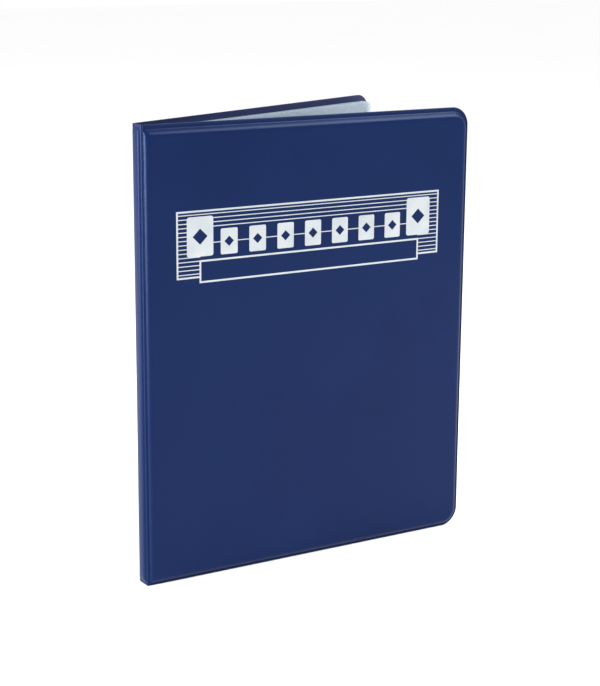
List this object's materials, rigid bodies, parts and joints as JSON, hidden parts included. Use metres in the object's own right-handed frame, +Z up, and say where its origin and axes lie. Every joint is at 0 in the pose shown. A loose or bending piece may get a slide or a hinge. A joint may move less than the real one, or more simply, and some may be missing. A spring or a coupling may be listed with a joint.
{
  "type": "trading card binder",
  "caption": "Padded navy vinyl trading card album standing slightly open, with hinged covers and bound clear pages of card pockets.",
  "frame": {"origin": "foot of the spine, midway between the two cover hinge lines, on the surface that the album stands on", "axes": "+Z up along the spine, +X from the spine towards the fore edges, front cover on the -Y side and back cover on the +Y side"},
  "size_m": [0.2447, 0.1068, 0.305],
  "materials": {
    "cover_vinyl": "satin",
    "liner_vinyl": "satin",
    "hinge_vinyl": "satin",
    "binding_vinyl": "satin",
    "page_film": "satin",
    "page_weld": "matte",
    "board": "matte",
    "foam": "matte",
    "silver_foil": "gloss"
  },
  "bodies": {
    "spine": {"spine_outer_skin": "cover_vinyl", "spine_board": "board", "spine_inner_liner": "liner_vinyl", "front_hinge_web": "hinge_vinyl", "back_hinge_web": "hinge_vinyl", "page_binding": "binding_vinyl"},
    "front_cover": {"front_outer_skin": "cover_vinyl", "front_foam_pad": "foam", "front_board": "board", "front_inner_liner": "liner_vinyl", "title_foil": "silver_foil"},
    "back_cover": {"back_outer_skin": "cover_vinyl", "back_foam_pad": "foam", "back_board": "board", "back_inner_liner": "liner_vinyl"},
    "page_01": {"page_01_backing_film": "page_film", "page_01_pocket_film": "page_film", "page_01_weld_seams": "page_weld"},
    "page_02": {"page_02_backing_film": "page_film", "page_02_pocket_film": "page_film", "page_02_weld_seams": "page_weld"},
    "page_03": {"page_03_backing_film": "page_film", "page_03_pocket_film": "page_film", "page_03_weld_seams": "page_weld"},
    "page_04": {"page_04_backing_film": "page_film", "page_04_pocket_film": "page_film", "page_04_weld_seams": "page_weld"},
    "page_05": {"page_05_backing_film": "page_film", "page_05_pocket_film": "page_film", "page_05_weld_seams": "page_weld"},
    "page_06": {"page_06_backing_film": "page_film", "page_06_pocket_film": "page_film", "page_06_weld_seams": "page_weld"},
    "page_07": {"page_07_backing_film": "page_film", "page_07_pocket_film": "page_film", "page_07_weld_seams": "page_weld"},
    "page_08": {"page_08_backing_film": "page_film", "page_08_pocket_film": "page_film", "page_08_weld_seams": "page_weld"},
    "page_09": {"page_09_backing_film": "page_film", "page_09_pocket_film": "page_film", "page_09_weld_seams": "page_weld"},
    "page_10": {"page_10_backing_film": "page_film", "page_10_pocket_film": "page_film", "page_10_weld_seams": "page_weld"}
  },
  "joints": [
    {"name": "front_cover_hinge", "type": "hinge", "parent": "spine", "child": "front_cover", "pos_m": [0, -0.00555, 0.1525], "axis": [0, 0, -1], "range_deg": [-5, 90]},
    {"name": "back_cover_hinge", "type": "hinge", "parent": "spine", "child": "back_cover", "pos_m": [0, 0.00555, 0.1525], "axis": [0, 0, 1], "range_deg": [-17, 78]},
    {"name": "page_01_turn", "type": "hinge", "parent": "spine", "child": "page_01", "pos_m": [0.00315, -0.00405, 0.1525], "axis": [0, 0, -1], "range_deg": [-4.91, 88.21]},
    {"name": "page_02_turn", "type": "hinge", "parent": "spine", "child": "page_02", "pos_m": [0.00395, -0.00315, 0.1525], "axis": [0, 0, -1], "range_deg": [-4.88, 87.67]},
    {"name": "page_03_turn", "type": "hinge", "parent": "spine", "child": "page_03", "pos_m": [0.00475, -0.00225, 0.1525], "axis": [0, 0, -1], "range_deg": [-4.85, 87.13]},
    {"name": "page_04_turn", "type": "hinge", "parent": "spine", "child": "page_04", "pos_m": [0.00555, -0.00135, 0.1525], "axis": [0, 0, -1], "range_deg": [-4.82, 86.59]},
    {"name": "page_05_turn", "type": "hinge", "parent": "spine", "child": "page_05", "pos_m": [0.00635, -0.00045, 0.1525], "axis": [0, 0, -1], "range_deg": [-4.79, 86.05]},
    {"name": "page_06_turn", "type": "hinge", "parent": "spine", "child": "page_06", "pos_m": [0.00635, 0.00045, 0.1525], "axis": [0, 0, 1], "range_deg": [-16.26, 74.58]},
    {"name": "page_07_turn", "type": "hinge", "parent": "spine", "child": "page_07", "pos_m": [0.00555, 0.00135, 0.1525], "axis": [0, 0, 1], "range_deg": [-16.36, 75.05]},
    {"name": "page_08_turn", "type": "hinge", "parent": "spine", "child": "page_08", "pos_m": [0.00475, 0.00225, 0.1525], "axis": [0, 0, 1], "range_deg": [-16.47, 75.51]},
    {"name": "page_09_turn", "type": "hinge", "parent": "spine", "child": "page_09", "pos_m": [0.00395, 0.00315, 0.1525], "axis": [0, 0, 1], "range_deg": [-16.57, 75.98]},
    {"name": "page_10_turn", "type": "hinge", "parent": "spine", "child": "page_10", "pos_m": [0.00315, 0.00405, 0.1525], "axis": [0, 0, 1], "range_deg": [-16.67, 76.45]}
  ],
  "couplings": [
    {"joint": "page_01_turn", "follows": "front_cover_hinge", "ratio": 0.98},
    {"joint": "page_02_turn", "follows": "front_cover_hinge", "ratio": 0.974},
    {"joint": "page_03_turn", "follows": "front_cover_hinge", "ratio": 0.968},
    {"joint": "page_04_turn", "follows": "front_cover_hinge", "ratio": 0.962},
    {"joint": "page_05_turn", "follows": "front_cover_hinge", "ratio": 0.956},
    {"joint": "page_06_turn", "follows": "back_cover_hinge", "ratio": 0.956},
    {"joint": "page_07_turn", "follows": "back_cover_hinge", "ratio": 0.962},
    {"joint": "page_08_turn", "follows": "back_cover_hinge", "ratio": 0.968},
    {"joint": "page_09_turn", "follows": "back_cover_hinge", "ratio": 0.974},
    {"joint": "page_10_turn", "follows": "back_cover_hinge", "ratio": 0.98}
  ]
}
